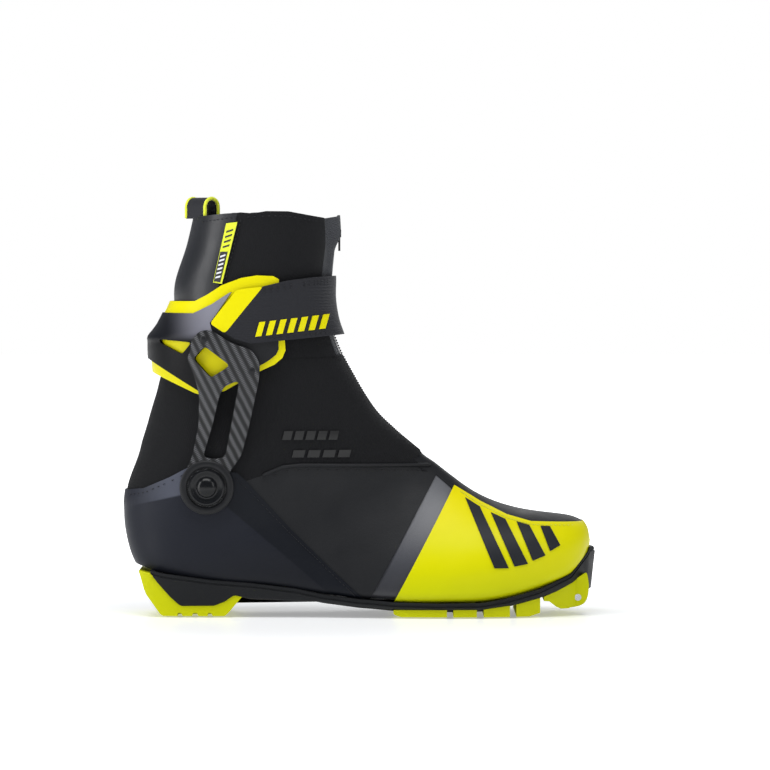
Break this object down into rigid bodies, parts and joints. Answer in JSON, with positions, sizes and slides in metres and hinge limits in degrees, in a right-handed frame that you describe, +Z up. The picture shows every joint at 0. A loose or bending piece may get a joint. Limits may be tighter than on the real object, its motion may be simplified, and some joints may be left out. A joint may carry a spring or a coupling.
{
  "type": "cross country boot",
  "caption": "Cross country skating boot with a soft upper, a hinged ankle cuff on carbon links, an instep strap, a front zip and a grooved sole with a toe bar.",
  "frame": {"origin": "on the ground, in the middle of the boot's bounding box seen from above", "axes": "+X to the toe, +Y to the inner (medial) side of this right boot, +Z up"},
  "size_m": [0.2952, 0.1012, 0.264],
  "materials": {
    "navy_shell": "moulded navy-graphite TPU, semi-gloss",
    "graphite_shell": "moulded graphite plastic, satin",
    "black_synthetic": "black coated synthetic leather, matte",
    "softshell": "black stretch softshell fabric",
    "grey_band": "grey gradient TPU film",
    "yellow_overlay": "fluorescent yellow coated TPU",
    "yellow_rubber": "fluorescent yellow outsole rubber",
    "sole_black": "black moulded sole plastic",
    "lining_grey": "dark grey padded mesh lining",
    "collar_synthetic": "charcoal coated synthetic, semi-gloss",
    "webbing": "woven webbing",
    "carbon": "carbon fibre twill in clear resin",
    "steel": "plain steel",
    "lace_cord": "yellow-green round cord",
    "foam": "stiff grey board and foam",
    "zip_black": "black moulded zip"
  },
  "bodies": {
    "root": {"heel_counter": "navy_shell", "side_panel_lateral": "black_synthetic", "side_panel_medial": "black_synthetic", "flex_band_lateral": "grey_band", "flex_band_medial": "grey_band", "toe_overlay": "yellow_overlay", "instep_strip": "black_synthetic", "toe_box": "foam", "heel_cup": "foam", "lasting_board": "foam", "footbed": "lining_grey", "foot_lining": "lining_grey", "ankle_lining": "lining_grey", "ankle_cover": "softshell", "ankle_zip": "zip_black", "tongue": "lining_grey", "eyestay_lateral": "black_synthetic", "eyestay_medial": "black_synthetic", "lace": "lace_cord", "outsole_carrier": "sole_black", "heel_tread": "yellow_rubber", "forefoot_tread_lateral": "yellow_rubber", "forefoot_tread_centre": "yellow_rubber", "forefoot_tread_medial": "yellow_rubber", "toe_tread": "yellow_rubber", "binding_bar": "steel", "pivot_nut_lateral": "steel", "pivot_nut_medial": "steel", "pivot_cap_lateral": "graphite_shell", "pivot_cap_medial": "graphite_shell"},
    "cuff": {"collar_rear": "collar_synthetic", "collar_front_lateral": "softshell", "collar_front_medial": "softshell", "collar_gusset_lateral": "lining_grey", "collar_gusset_medial": "lining_grey", "collar_zip": "zip_black", "collar_lining": "lining_grey", "cuff_liner": "yellow_overlay", "cuff_spoiler": "graphite_shell", "strap_anchor": "yellow_overlay", "strap_base": "navy_shell", "link_lateral": "carbon", "link_medial": "carbon", "pivot_bush_lateral": "sole_black", "pivot_bush_medial": "sole_black", "rivet_head_lateral": "steel", "rivet_arm_lateral": "steel", "rivet_head_medial": "steel", "rivet_arm_medial": "steel", "pull_loop": "webbing", "label_lateral": "yellow_overlay", "label_medial": "yellow_overlay"},
    "strap": {"strap": "navy_shell"},
    "strap_tab": {"strap_tab": "webbing"},
    "zip_slider": {"zip_slider": "steel"},
    "zip_pull": {"zip_pull": "steel"}
  },
  "joints": [
    {"name": "cuff_hinge", "type": "hinge", "parent": "root", "child": "cuff", "pos_m": [-0.09539, 0, 0.081], "axis": [0, 1, 0], "range_deg": [-8, 15], "stiffness_Nm_per_rad": 8, "deforming": ["ankle_cover", "ankle_lining", "ankle_zip", "tongue"]},
    {"name": "strap_hinge", "type": "hinge", "parent": "cuff", "child": "strap", "pos_m": [-0.03839, -0.0423, 0.19], "axis": [0, 0, -1], "range_deg": [0, 100]},
    {"name": "strap_tab_hinge", "type": "hinge", "parent": "strap", "child": "strap_tab", "pos_m": [-0.04979, 0.0472, 0.19], "axis": [0, 0, -1], "range_deg": [0, 60], "stiffness_Nm_per_rad": 0.02},
    {"name": "zip_slide", "type": "slide", "parent": "cuff", "child": "zip_slider", "axis": [0, 0, -1], "range_m": [0, 0.012]},
    {"name": "zip_pull_hinge", "type": "hinge", "parent": "zip_slider", "child": "zip_pull", "pos_m": [-0.01317, 0, 0.2392], "axis": [0, -1, 0], "range_deg": [0, 120]}
  ]
}
